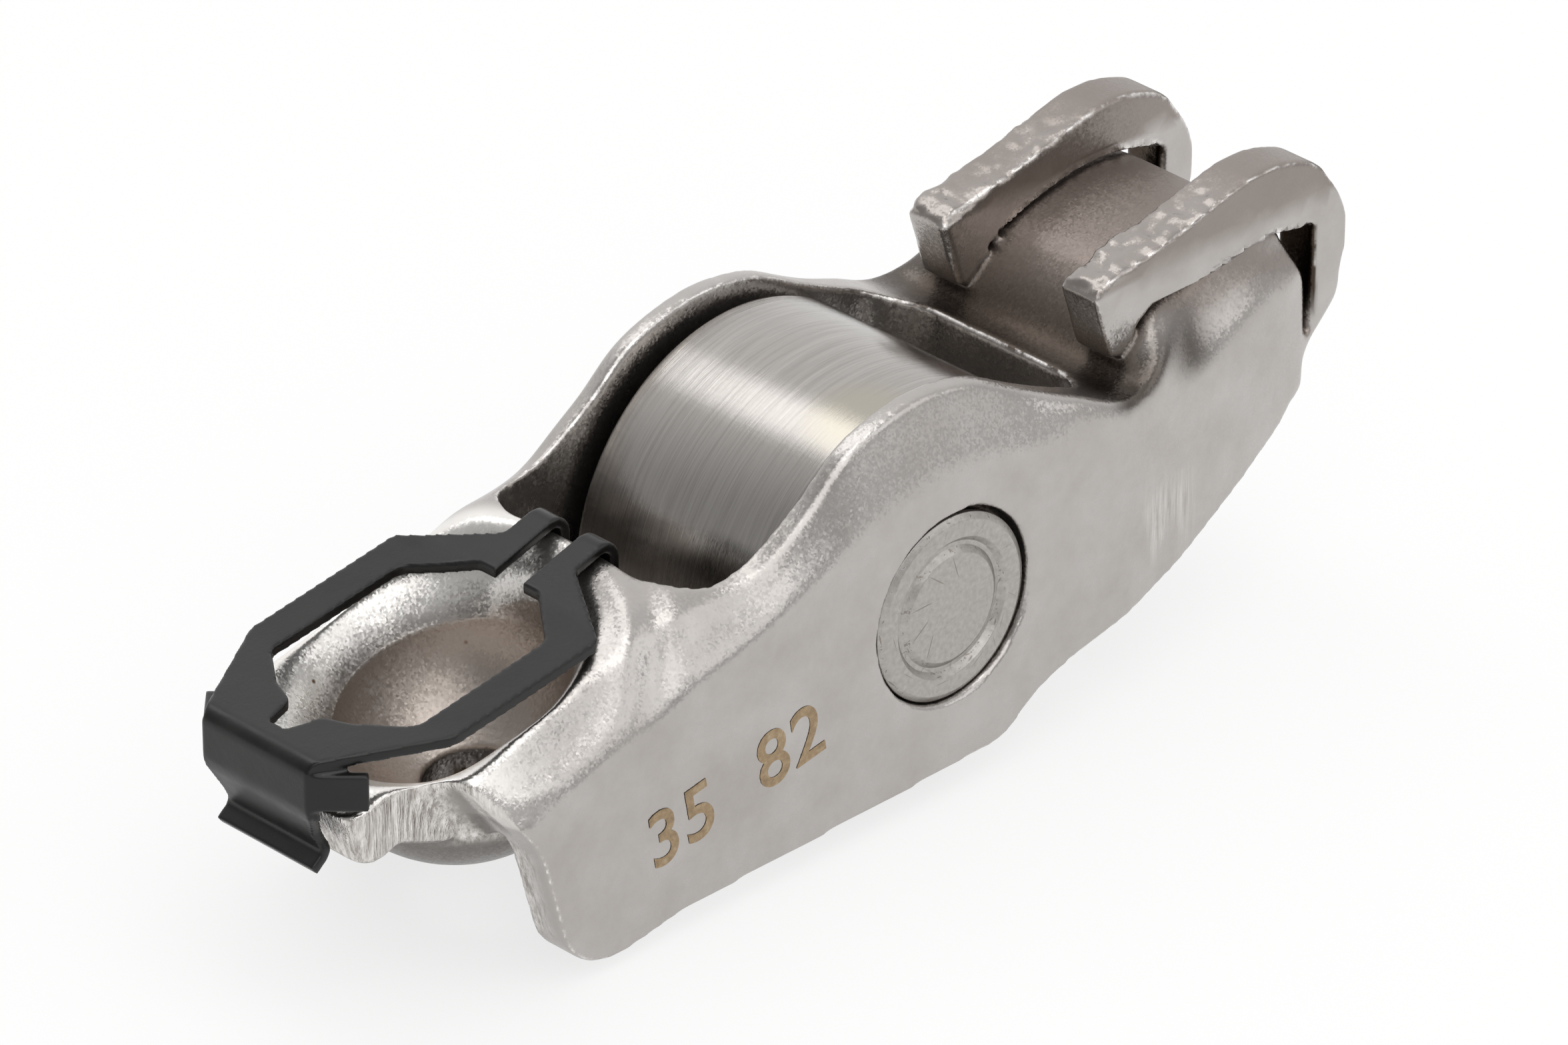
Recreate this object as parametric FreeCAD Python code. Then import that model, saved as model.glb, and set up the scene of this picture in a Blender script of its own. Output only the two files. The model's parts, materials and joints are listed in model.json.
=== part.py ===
import FreeCAD, Part
import math
import os

from FreeCAD import Vector

os.makedirs("parts", exist_ok=True)

# A roller finger follower, the rocker arm between a lash adjuster and a valve.
# It lies with its valve side up. The origin is the roller's centre, +X points
# from the ball socket to the valve pad and +Y to the side that faces away.

# Roller, needles and pin
roller_d = 17.0
roller_gap = 0.5
roller_edge = 0.35
pin_d = 7.6
pin_recess = 0.14
pin_flare = 0.18
needle_count = 18
needle_d = 1.55
needle_inset = 0.4
bearing_clearance = 0.04
pin_clearance = 0.05
seat_clearance = 0.17
seat_lift = 0.1

# Channel
body_width = 15.0
wall = 1.9
web = 2.5
inner_bend = 2.4
crest_inset = 1.15
web_slope = 17.5
tongue_tip_x = -28.4
tongue_tip_z = 0.65
tongue_width = 7.8
notch_radius = 2.0
hump_rise = 0.85
window_front_gap = 4.7
window_rear_gap = 1.15
window_radius = 2.4
wall_front_x = -24.4
wall_front_z = 1.4
foot_x = -18.9
foot_z = -7.9
foot_length = 3.0
wall_foot_z = -7.0
heel_x = 2.7
heel_rise = 1.8
tail_low_z = 0.4
station_gap = 1.46

# Ball socket
ball_r = 5.0
socket_x = -19.9
socket_z = 1.8
dome_wall = 2.4
dome_side = 1.1
dome_flange = 1.6
rim_depth = 1.3
rim_blend = 1.6
oil_hole_d = 3.5
oil_hole_x = -18.9

# Valve pad and its two guides
pad_x = 18.5
pad_z = 8.7
pad_half_width = 4.75
valley_x = 10.3
valley_z = 5.2
tail_x = 22.1
tail_half_width = 5.25
tail_lean = 1.5
guide_slot = 6.3
guide_thickness = 2.1
guide_rear_x = 24.4
guide_gap = 0.3

# Clip
clip_sheet = 0.45
clip_half_width = 5.7
clip_corner_x = socket_x - 4.85
clip_arm = 1.65
clip_fold_x = tongue_tip_x - 1.35
clip_fold_z = tongue_tip_z + 2.7
clip_strap_half = 2.95
clip_neck_half = 2.55
clip_lip_half = 2.7
clip_finger_half = 1.9
clip_slot = 1.5
clip_seat_gap = 0.12
clip_wing = 2.3
clip_wing_low = tongue_tip_z + 0.65
clip_wing_high = tongue_tip_z + 2.2

roller_r = roller_d / 2
pin_r = pin_d / 2
pin_hole_r = pin_r + pin_clearance
pitch_r = pin_r + bearing_clearance + needle_d / 2
bore_r = pitch_r + needle_d / 2 + bearing_clearance
half_width = body_width / 2
channel_half = half_width - wall
roller_width = 2 * (channel_half - roller_gap)
needle_length = roller_width - 2 * needle_inset
slope = math.tan(math.radians(web_slope))
window_front = -roller_r - window_front_gap
window_rear = roller_r + window_rear_gap
hump_z = roller_r + hump_rise
far_below = -30.0
far_above = 30.0


def through(points):
    """A smooth function of x through a few (x, value) points, flat beyond the ends."""
    xs = [p[0] for p in points]
    vs = [p[1] for p in points]
    secant = [(vs[i + 1] - vs[i]) / (xs[i + 1] - xs[i]) for i in range(len(xs) - 1)]
    tangent = [secant[0]]
    for before, after in zip(secant, secant[1:]):
        tangent.append(0.0 if before * after <= 0 else 2 * before * after / (before + after))
    tangent.append(secant[-1])

    def value(x):
        if x <= xs[0]:
            return vs[0] + (x - xs[0]) * tangent[0]
        if x >= xs[-1]:
            return vs[-1] + (x - xs[-1]) * tangent[-1]
        i = max(k for k in range(len(xs) - 1) if xs[k] <= x)
        h = xs[i + 1] - xs[i]
        t = (x - xs[i]) / h
        rise = (3 - 2 * t) * t * t
        bend_in = t * (1 - t) * (1 - t)
        bend_out = t * t * (t - 1)
        return vs[i] * (1 - rise) + vs[i + 1] * rise + h * (bend_in * tangent[i] + bend_out * tangent[i + 1])

    return value


def web_plane(x):
    return tongue_tip_z + (x - tongue_tip_x) * slope


web_top = through([
    (tongue_tip_x - 2, web_plane(tongue_tip_x - 2)),
    (window_front - 3.0, web_plane(window_front - 3.0)),
    (window_front, web_plane(window_front) - 0.15),
    (window_front + 3.0, web_plane(window_front) - 0.2),
    (-0.87 * roller_r, 0.76 * roller_r),
    (-0.58 * roller_r, 0.98 * roller_r),
    (-0.3 * roller_r, hump_z - 0.2),
    (-0.08 * roller_r, hump_z),
    (0.2 * roller_r, hump_z - 0.35),
    (0.54 * roller_r, hump_z - 1.75),
    (valley_x - 2.2, valley_z + 0.8),
    (valley_x, valley_z),
    (valley_x + 1.7, valley_z + 1.1),
    (valley_x + 3.1, pad_z - 1.2),
    (pad_x - 2.0, pad_z - 0.22),
    (pad_x, pad_z),
    (pad_x + 2.0, pad_z - 0.2),
    (tail_x, pad_z - 0.8),
])

wall_half = through([
    (tongue_tip_x, half_width),
    (roller_r, half_width),
    (roller_r + 5.0, half_width - 0.75),
    (pad_x, tail_half_width + 0.75),
    (tail_x, tail_half_width),
])

crest_half = through([
    (tongue_tip_x, half_width - crest_inset - 0.6),
    (window_front + 1.0, half_width - crest_inset - 0.6),
    (window_front + 5.0, half_width - crest_inset),
    (0.5 * roller_r, half_width - crest_inset),
    (valley_x - 1.0, half_width - 0.5),
    (valley_x + 1.0, half_width - 0.5),
    (valley_x + 4.5, pad_half_width + 0.2),
    (pad_x - 1.0, pad_half_width),
    (tail_x, pad_half_width - 0.1),
])

crest_drop = through([
    (tongue_tip_x, 0.1),
    (socket_x - 2.0, 0.5),
    (window_front - 1.0, 0.7),
    (window_front + 5.0, 0.25),
    (-0.3 * roller_r, 0.05),
    (valley_x, 0.0),
    (valley_x + 2.5, 0.6),
    (valley_x + 4.5, 0.9),
    (pad_x, 0.6),
    (tail_x, 0.5),
])

shoulder_z = through([
    (tongue_tip_x, web_plane(tongue_tip_x) - 3.5),
    (window_front, web_plane(window_front) - 3.4),
    (0.0, hump_z - 4.2),
    (valley_x, valley_z - 1.2),
    (valley_x + 4.0, valley_z - 1.4),
    (pad_x, pad_z - 3.6),
    (tail_x, pad_z - 3.4),
])

side_fullness = through([
    (window_front, 0.3),
    (0.3 * roller_r, 0.35),
    (valley_x - 2.0, 0.8),
    (valley_x + 1.0, 0.8),
    (valley_x + 5.0, 0.3),
    (tail_x, 0.2),
])


def rounded(corners):
    """A closed outline of lines and tangent arcs from (a, b, radius) corners."""
    count = len(corners)
    starts = []
    ends = []
    for i, (a, b, radius) in enumerate(corners):
        here = Vector(a, b, 0)
        back = Vector(corners[i - 1][0], corners[i - 1][1], 0) - here
        ahead = Vector(corners[(i + 1) % count][0], corners[(i + 1) % count][1], 0) - here
        back.normalize()
        ahead.normalize()
        reach = 0.0
        if radius > 0:
            reach = radius / math.tan(back.getAngle(ahead) / 2)
        starts.append(here + back * reach)
        ends.append(here + ahead * reach)
    edges = []
    for i, (a, b, radius) in enumerate(corners):
        if radius > 0:
            here = Vector(a, b, 0)
            to_middle = (starts[i] + ends[i]) * 0.5 - here
            out = to_middle.Length
            hub = math.sqrt(radius ** 2 + (starts[i] - here).Length ** 2)
            middle = here + to_middle * ((hub - radius) / out)
            edges.append(Part.Arc(starts[i], middle, ends[i]).toShape())
        following = starts[(i + 1) % count]
        if (following - ends[i]).Length > 1e-6:
            edges.append(Part.LineSegment(ends[i], following).toShape())
    return Part.Wire(Part.__sortEdges__(edges))


def upright(wire):
    """Turn an outline drawn in (x, z) up into the side plane."""
    turned = wire.copy()
    turned.rotate(Vector(0, 0, 0), Vector(1, 0, 0), 90)
    return turned


def side_prism(wire, y_low, y_high):
    face = Part.Face(upright(wire))
    face.translate(Vector(0, y_low, 0))
    return face.extrude(Vector(0, y_high - y_low, 0))


def plan_prism(wire, z_low, z_high):
    face = Part.Face(wire)
    face.translate(Vector(0, 0, z_low))
    return face.extrude(Vector(0, 0, z_high - z_low))


def turned(points):
    """A solid turned about the roller's axis from a closed outline of (radius, y) points."""
    corners = [Vector(r, y, 0) for r, y in points]
    face = Part.Face(Part.makePolygon(corners + corners[:1]))
    return face.revolve(Vector(0, 0, 0), Vector(0, 1, 0), 360)


def curve(points):
    spline = Part.BSplineCurve()
    spline.interpolate([Vector(*p) for p in points])
    return spline.toShape()


def mirrored(shape):
    return shape.mirror(Vector(0, 0, 0), Vector(0, 1, 0))


def bezier(points):
    arc = Part.BezierCurve()
    arc.setPoles([Vector(*p) for p in points])
    return arc.toShape()


def station(x, grow=0.0):
    """The outer section at x: a crowned web, its two bends and the straight walls."""
    top = web_top(x) + grow
    crest = crest_half(x) + grow
    crest_z = top - crest_drop(x)
    full = wall_half(x) + grow
    shoulder = min(shoulder_z(x), crest_z - 1.0)
    depth = crest_z - shoulder
    swell = crest + side_fullness(x) * (full - crest)
    floor = foot_z - 4.0
    edges = []
    for flip in (1, -1):
        edges.append(bezier([
            (x, flip * (crest - 1.8), top),
            (x, flip * (crest - 0.7), top),
            (x, flip * crest, crest_z),
        ]))
        edges.append(bezier([
            (x, flip * crest, crest_z),
            (x, flip * swell, crest_z - 0.1 * depth),
            (x, flip * swell, crest_z - 0.5 * depth),
            (x, flip * full, crest_z - 0.6 * depth),
            (x, flip * full, shoulder),
        ]))
        corner = Vector(x, flip * full, shoulder)
        edges.append(Part.LineSegment(corner, Vector(x, flip * full, floor)).toShape())
    edges.append(Part.LineSegment(Vector(x, 1.8 - crest, top), Vector(x, crest - 1.8, top)).toShape())
    edges.append(Part.LineSegment(Vector(x, -full, floor), Vector(x, full, floor)).toShape())
    return Part.Wire(Part.__sortEdges__(edges))


def channel_block(first_x, grow=0.0):
    """The pressed channel's outside, from first_x to just past the tail."""
    length = tail_x + guide_gap - first_x
    steps = round(length / station_gap)
    sections = [station(first_x + length * i / steps, grow) for i in range(steps + 1)]
    return Part.makeLoft(sections, True, False)


def under_web(plan):
    """The space under the web's thickness, within a plan outline."""
    box = plan.BoundBox
    steps = math.ceil(box.XLength / 2.0)
    ceiling = []
    for i in range(steps + 1):
        x = box.XMin + box.XLength * i / steps
        pitch = math.atan((web_top(x + 0.01) - web_top(x - 0.01)) / 0.02)
        ceiling.append((x, 0, web_top(x) - web / math.cos(pitch)))
    corners = [ceiling[-1], (box.XMax, 0, far_below), (box.XMin, 0, far_below), ceiling[0]]
    outline = [curve(ceiling)]
    for a, b in zip(corners, corners[1:]):
        outline.append(Part.LineSegment(Vector(*a), Vector(*b)).toShape())
    side = Part.Face(Part.Wire(outline))
    side.translate(Vector(0, -body_width, 0))
    prism = side.extrude(Vector(0, 2 * body_width, 0))
    return prism.common(plan_prism(plan, far_below, far_above))


def channel_space():
    """The hollow between the walls: its bends are rounded in front, and it narrows at the tail."""
    narrow = tail_half_width - wall
    front = under_web(rounded([
        (tongue_tip_x - 5, -channel_half, 0),
        (window_front + 1.0, -channel_half, 0),
        (window_front + 1.0, channel_half, 0),
        (tongue_tip_x - 5, channel_half, 0),
    ]))
    bends = []
    for edge in front.Edges:
        box = edge.BoundBox
        if box.ZMin > foot_z and box.XLength > 5:
            bends.append(edge)
    rear = under_web(rounded([
        (window_front + 0.5, -channel_half, 0),
        (valley_x - 0.5, -channel_half, 4),
        (valley_x + 4.5, -narrow, 4),
        (tail_x + 5, -narrow, 0),
        (tail_x + 5, narrow, 0),
        (valley_x + 4.5, narrow, 4),
        (valley_x - 0.5, channel_half, 4),
        (window_front + 0.5, channel_half, 0),
    ]))
    return front.makeFillet(inner_bend, bends).fuse(rear)


def trim_block():
    """What the blanking tools leave: the walls' side outline and the front tongue."""
    walls = side_prism(rounded([
        (wall_front_x, far_above, 0),
        (wall_front_x, wall_front_z, 1.5),
        (foot_x - foot_length / 2 - 1.6, wall_front_z - 3.3, 5.0),
        (foot_x - foot_length / 2, foot_z, 2.7),
        (foot_x + foot_length / 2, foot_z, 2.5),
        (foot_x + foot_length / 2 + 2.8, wall_foot_z - 0.45, 5.0),
        (heel_x, wall_foot_z, 3.0),
        (heel_x + 1.5 * heel_rise, wall_foot_z + heel_rise, 4.0),
        (pad_x - 5.0, wall_foot_z + heel_rise + 1.7, 8.0),
        (pad_x - 1.3, wall_foot_z + heel_rise + 3.3, 8.0),
        (tail_x, tail_low_z, 0),
        (tail_x, pad_z - 3.6, 2.5),
        (tail_x - tail_lean, pad_z - 0.5, 0.8),
        (tail_x - tail_lean, far_above, 0),
    ]), -body_width, body_width)
    tongue = plan_prism(rounded([
        (tongue_tip_x, -tongue_width / 2, 0.8),
        (socket_x, -tongue_width / 2, 0),
        (socket_x, tongue_width / 2, 0),
        (tongue_tip_x, tongue_width / 2, 0.8),
    ]), far_below, far_above)
    tongue.rotate(Vector(tongue_tip_x, 0, tongue_tip_z), Vector(0, 1, 0), -web_slope)
    blank = walls.fuse(tongue)
    roots = []
    for edge in blank.Edges:
        box = edge.BoundBox
        at_side = abs(abs(box.Center.y) - tongue_width / 2) < 1e-3 and box.YLength < 1e-3
        if at_side and box.XMax < socket_x and box.XMin > wall_front_x - 0.1 and box.ZLength > 0.1:
            roots.append(edge)
    return blank.makeFillet(notch_radius, roots)


def socket_frame(shape):
    """Stand a shape made about +Z on the ball's centre, square to the sloping web."""
    placed = shape.copy()
    placed.rotate(Vector(0, 0, 0), Vector(0, 1, 0), -web_slope)
    placed.translate(Vector(socket_x, 0, socket_z))
    return placed


def web_height_over_ball():
    return (web_plane(socket_x) - socket_z) * math.cos(math.radians(web_slope))


def dome():
    """The cup pressed down round the ball, blending into the web's underside."""
    cup_r = ball_r + dome_side
    middle = -(ball_r + dome_wall - cup_r)
    under = web_height_over_ball() - web
    flange_r = cup_r + dome_flange
    bottom = Vector(0, 0, middle - cup_r)
    knee = Vector(cup_r * math.sqrt(0.5), 0, middle - cup_r * math.sqrt(0.5))
    side = Vector(cup_r, 0, middle)
    low = Vector(cup_r, 0, under - dome_flange)
    flange = Vector(flange_r, 0, under)
    edges = [Part.Arc(bottom, knee, side).toShape()]
    if (side - low).Length > 1e-6:
        edges.append(Part.LineSegment(side, low).toShape())
    corners = [low, flange, Vector(flange_r, 0, under + 1), Vector(0, 0, under + 1), bottom]
    edges += [Part.LineSegment(m, n).toShape() for m, n in zip(corners, corners[1:])]
    face = Part.Face(Part.Wire(edges))
    return socket_frame(face.revolve(Vector(0, 0, 0), Vector(0, 0, 1), 360))


def socket_space():
    top = web_height_over_ball()
    rim_r = math.sqrt(ball_r ** 2 - rim_depth ** 2)
    mouth_r = rim_r + rim_blend
    bottom = Vector(0, 0, -ball_r)
    low = Vector(ball_r * math.sin(math.radians(40)), 0, -ball_r * math.cos(math.radians(40)))
    rim = Vector(rim_r, 0, -rim_depth)
    flare = []
    for angle in (0, 30, 60, 90):
        turn = math.radians(angle)
        rise = (top + rim_depth) * math.sin(turn)
        flare.append(Vector(mouth_r - rim_blend * math.cos(turn), 0, rise - rim_depth))
    corners = flare + [Vector(mouth_r, 0, top + 6), Vector(0, 0, top + 6), bottom]
    edges = [Part.Arc(bottom, low, rim).toShape()]
    edges += [Part.LineSegment(m, n).toShape() for m, n in zip(corners, corners[1:])]
    face = Part.Face(Part.Wire(edges))
    return socket_frame(face.revolve(Vector(0, 0, 0), Vector(0, 0, 1), 360))


def window_space():
    half = channel_half
    return plan_prism(rounded([
        (window_front, -half, window_radius),
        (window_rear, -half, window_radius),
        (window_rear, half, window_radius),
        (window_front, half, window_radius),
    ]), far_below, far_above)


def guide(body_skin):
    """One hooked valve guide: it leaves the wall's tail and turns forward over the pad."""
    low = guide_slot / 2
    hook = rounded([
        (valley_x - 0.5, pad_z + 0.65, 0.5),
        (pad_x - 4.5, pad_z + 1.35, 12.0),
        (pad_x + 1.2, pad_z + 2.75, 6.0),
        (guide_rear_x - 1.8, pad_z + 1.75, 2.6),
        (guide_rear_x, pad_z - 0.9, 3.0),
        (guide_rear_x - 0.3, pad_z - 4.8, 0.8),
        (tail_x + 0.5, pad_z - 6.3, 0.5),
        (tail_x - 1.0, pad_z - 8.1, 0),
        (tail_x - 2.75, pad_z - 7.2, 0),
        (tail_x - 0.35, pad_z - 6.1, 0.2),
        (tail_x + guide_gap, pad_z - 5.8, 0.2),
        (tail_x + guide_gap, pad_z - 0.9, 0.3),
        (pad_x + 1.5, pad_z - 0.4, 3.0),
        (pad_x - 1.0, pad_z - 0.65, 6.0),
        (valley_x + 2.3, valley_z + 0.9, 3.0),
        (valley_x + 0.6, valley_z + 0.65, 0.3),
    ])
    strip = side_prism(hook, low, low + guide_thickness)
    upper = Part.makeBox(40, 20, 20, Vector(-10, 0, pad_z - 6.0))
    return strip.cut(body_skin.common(upper))


def pin_hole():
    """The pin's hole, widened at each side for the flared end, which lies low in its seat."""
    seat_r = pin_r + pin_flare + seat_clearance
    seat_y = half_width - pin_recess - 3 * pin_flare - seat_clearance
    seat = turned([
        (0, seat_y),
        (pin_hole_r, seat_y),
        (seat_r, seat_y + seat_r - pin_hole_r),
        (seat_r, half_width + 1),
        (0, half_width + 1),
    ])
    seat.translate(Vector(0, 0, seat_lift))
    bore = turned([(0, -half_width), (pin_hole_r, -half_width), (pin_hole_r, half_width), (0, half_width)])
    return bore.fuse(seat).fuse(mirrored(seat))


def lever_body():
    first_x = tongue_tip_x - 1.5
    block = channel_block(first_x)
    shell = block.cut(channel_space().cut(dome()))
    shell = shell.common(trim_block())
    shell = shell.cut(socket_space())
    shell = shell.cut(Part.makeCylinder(oil_hole_d / 2, 30, Vector(oil_hole_x, 0, -25)))
    shell = shell.cut(window_space())
    skin = channel_block(valley_x - 1, guide_gap)
    near = guide(skin)
    shell = shell.fuse(near).fuse(mirrored(near))
    return shell.cut(pin_hole()).removeSplitter()


def roller():
    half = roller_width / 2
    return turned([
        (bore_r, -half),
        (roller_r - roller_edge / 2, -half),
        (roller_r, roller_edge / 2 - half),
        (roller_r, half - roller_edge / 2),
        (roller_r - roller_edge / 2, half),
        (bore_r, half),
    ])


def axle_pin():
    half = half_width - pin_recess
    flare_r = pin_r + pin_flare
    groove_r = 0.68 * pin_r
    groove = 0.18
    chamfer = 0.2
    points = [
        (0, 0),
        (pin_r, 0),
        (pin_r, half - 3 * pin_flare),
        (flare_r, half - 2 * pin_flare),
        (flare_r, half - chamfer),
        (flare_r - chamfer, half),
        (groove_r + 0.3, half),
        (groove_r, half - groove),
        (groove_r - 0.3, half),
        (0, half),
    ]
    end = turned(points)
    return end.fuse(mirrored(end)).removeSplitter()


def needle(index):
    angle = 2 * math.pi * index / needle_count
    at = Vector(pitch_r * math.sin(angle), -needle_length / 2, pitch_r * math.cos(angle))
    return Part.makeCylinder(needle_d / 2, needle_length, at, Vector(0, 1, 0))


def strip(path, thickness):
    """The outline of a bent sheet: a path of (a, b, radius) bends with a thickness."""
    left = []
    right = []
    for i, (a, b, radius) in enumerate(path):
        here = Vector(a, b, 0)
        before = here - Vector(path[i - 1][0], path[i - 1][1], 0) if i > 0 else None
        after = Vector(path[i + 1][0], path[i + 1][1], 0) - here if i < len(path) - 1 else None
        before = before or after
        after = after or before
        before.normalize()
        after.normalize()
        normal = Vector(-before.y - after.y, before.x + after.x, 0)
        normal.normalize()
        reach = thickness / 2 / max(0.2, normal.dot(Vector(-before.y, before.x, 0)))
        turn = before.x * after.y - before.y * after.x
        inner = max(radius - thickness / 2, 0.05) if radius else 0
        outer = radius + thickness / 2 if radius else 0
        on_left = here + normal * reach
        on_right = here - normal * reach
        left.append((on_left.x, on_left.y, inner if turn > 0 else outer))
        right.append((on_right.x, on_right.y, outer if turn > 0 else inner))
    return rounded(left + right[::-1])


def retaining_clip():
    """One strip of spring steel: a plate with two arms and fingers, a strap and two wings."""
    drop = clip_sheet / 2 + clip_seat_gap
    leg_x = window_front + drop
    seat_z = web_top(window_front - 4.0) + drop
    bend_z = web_top(window_front) + drop + 0.35
    path = [
        (tongue_tip_x - 0.8, tongue_tip_z - 2.25, 0),
        (tongue_tip_x - 0.05, tongue_tip_z - 1.65, 0.5),
        (clip_fold_x + 0.225, clip_wing_low - 0.1, 1.5),
        (clip_fold_x + 0.225, clip_fold_z - 0.2, 0.45),
        (clip_corner_x, clip_fold_z + 0.15, 20.0),
        (window_front - 4.0, seat_z + 0.1, 8.0),
        (leg_x, bend_z, 0.6),
        (leg_x, bend_z - 3.2, 0.6),
        (leg_x + 0.3, bend_z - 4.0, 0),
    ]
    sheet = side_prism(strip(path, clip_sheet), -body_width, body_width)
    neck_x = window_front - 1.8
    shoulder_x = window_front - 4.1
    half = [
        (clip_fold_x - 2, clip_strap_half, 0),
        (clip_fold_x + 0.2, clip_strap_half, 0.3),
        (clip_corner_x, clip_half_width, 0.8),
        (shoulder_x, clip_half_width, 0.5),
        (neck_x, clip_finger_half + 0.1, 0.5),
        (window_front + 3, clip_finger_half, 0),
    ]
    outline = rounded([(x, y, r) for x, y, r in half] + [(x, -y, r) for x, y, r in half[::-1]])
    inside = clip_half_width - clip_arm
    hole = [
        (clip_fold_x + 1.2, 0.45, 0.2),
        (clip_fold_x + 2.7, 0.9, 0.6),
        (clip_fold_x + 3.2, 2.2, 1.5),
        (clip_corner_x - 0.4, inside, 0.7),
        (shoulder_x - 1.2, inside, 0.9),
        (neck_x - 1.6, clip_slot / 2 + 0.9, 0.5),
        (neck_x - 1.6, clip_slot / 2, 0),
        (window_front + 3, clip_slot / 2, 0),
    ]
    opening = rounded([(x, y, r) for x, y, r in hole] + [(x, -y, r) for x, y, r in hole[::-1]])
    plan = plan_prism(outline, far_below, far_above).cut(plan_prism(opening, far_below, far_above))
    clip = sheet.common(plan)
    for side in (-1, 1):
        waist = rounded([
            (side * (clip_strap_half + 0.1), clip_wing_low - 0.1, 0),
            (side * clip_neck_half, tongue_tip_z - 0.7, 0.6),
            (side * clip_neck_half, tongue_tip_z - 1.2, 0.1),
            (side * clip_lip_half, tongue_tip_z - 1.5, 0),
            (side * clip_lip_half, tongue_tip_z - 4, 0),
            (side * (clip_strap_half + 0.1), tongue_tip_z - 4, 0),
        ])
        waist.rotate(Vector(0, 0, 0), Vector(1, 0, 0), 90)
        waist.rotate(Vector(0, 0, 0), Vector(0, 0, 1), 90)
        notch = Part.Face(waist)
        notch.translate(Vector(clip_fold_x - 1, 0, 0))
        clip = clip.cut(notch.extrude(Vector(3.2, 0, 0)))
    root = clip_fold_x + clip_sheet / 2
    spread = clip_wing * math.sqrt(0.5)
    for side in (-1, 1):
        wing = plan_prism(strip([
            (root, side * (clip_strap_half - 1.2), 0),
            (root, side * (clip_strap_half - 0.2), 0.5),
            (root + spread, side * (clip_strap_half - 0.2 + spread), 0),
        ], clip_sheet), clip_wing_low, clip_wing_high)
        clip = clip.fuse(wing)
    return clip.removeSplitter()


lever = lever_body()
nodes = {
    "lever_body": lever,
    "roller": roller(),
    "axle_pin": axle_pin(),
    "retaining_clip": retaining_clip(),
}
for number in range(needle_count):
    nodes["needle_%02d" % (number + 1)] = needle(number)

for name, shape in nodes.items():
    print(name, shape.ShapeType, len(shape.Solids), shape.isValid(), round(shape.Volume, 2))
    shape.exportStep("parts/%s.step" % name)
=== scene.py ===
import json
import math

import bmesh
import bpy
import numpy as np
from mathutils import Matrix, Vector


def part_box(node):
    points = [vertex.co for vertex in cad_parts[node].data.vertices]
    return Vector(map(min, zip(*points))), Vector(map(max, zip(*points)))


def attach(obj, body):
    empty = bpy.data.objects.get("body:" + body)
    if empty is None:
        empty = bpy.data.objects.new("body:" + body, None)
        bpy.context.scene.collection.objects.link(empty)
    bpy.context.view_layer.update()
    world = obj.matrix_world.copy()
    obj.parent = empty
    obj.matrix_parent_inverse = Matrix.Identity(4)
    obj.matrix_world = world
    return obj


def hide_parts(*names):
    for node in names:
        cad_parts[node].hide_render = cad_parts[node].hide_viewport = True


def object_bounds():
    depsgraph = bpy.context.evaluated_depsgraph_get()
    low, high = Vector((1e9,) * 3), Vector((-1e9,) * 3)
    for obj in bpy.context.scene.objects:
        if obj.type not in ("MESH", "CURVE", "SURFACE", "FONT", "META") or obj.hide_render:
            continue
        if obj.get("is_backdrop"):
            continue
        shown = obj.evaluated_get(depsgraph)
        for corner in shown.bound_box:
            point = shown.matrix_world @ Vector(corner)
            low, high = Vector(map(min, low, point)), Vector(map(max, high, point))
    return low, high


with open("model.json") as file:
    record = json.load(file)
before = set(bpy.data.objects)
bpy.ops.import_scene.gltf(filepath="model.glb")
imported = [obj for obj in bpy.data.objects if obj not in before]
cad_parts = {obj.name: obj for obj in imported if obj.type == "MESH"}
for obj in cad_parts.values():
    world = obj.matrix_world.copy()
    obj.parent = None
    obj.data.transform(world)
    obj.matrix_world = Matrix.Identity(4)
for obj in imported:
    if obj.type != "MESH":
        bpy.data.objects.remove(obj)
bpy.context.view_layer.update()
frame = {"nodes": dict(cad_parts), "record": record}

# A roller finger follower, lying with its valve side up. Sizes here are in millimetres and
# become metres through MM. The frame's origin is the roller's centre, +X runs from the ball
# socket to the valve pad, +Y points away from the camera's side and +Z is up.
MM = 0.001

# Camera: solved from the roller and pin circles
IMAGE_WIDTH = 2352
FOCAL_PIXELS = 17417.8
SENSOR = 36.0
CAMERA_AT = Vector((-277.31, -281.47, 224.32))
CAMERA_FORWARD = Vector((0.6087, 0.6222, -0.4923))

# Sizes taken from the frame, in mm
roller_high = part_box("roller")[1] / MM
ROLLER_R = roller_high.z
ROLLER_HALF = roller_high.y
pin_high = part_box("axle_pin")[1] / MM
PIN_END_R = pin_high.z
PIN_HALF = pin_high.y
lever_low, lever_high = [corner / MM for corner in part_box("lever_body")]
WALL_Y = lever_high.y
needle_low, needle_high = [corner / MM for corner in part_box("needle_01")]
NEEDLE_R = (needle_high.z - needle_low.z) / 2
NEEDLE_HALF = needle_high.y
PITCH_R = (needle_high.z + needle_low.z) / 2
NEEDLE_PLAY = 0.04
BORE_R = PITCH_R + NEEDLE_R + NEEDLE_PLAY
NEEDLE_COUNT = sum(1 for name in frame["nodes"] if name.startswith("needle_"))
mounts = {mount["name"]: mount for mount in frame["record"]["mounts"]}
SOCKET = Vector(mounts["ball_socket"]["pos_m"]) / MM
SOCKET_UP = Vector(mounts["ball_socket"]["axis"]).normalized()
PAD = Vector(mounts["valve_pad"]["pos_m"]) / MM

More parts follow.
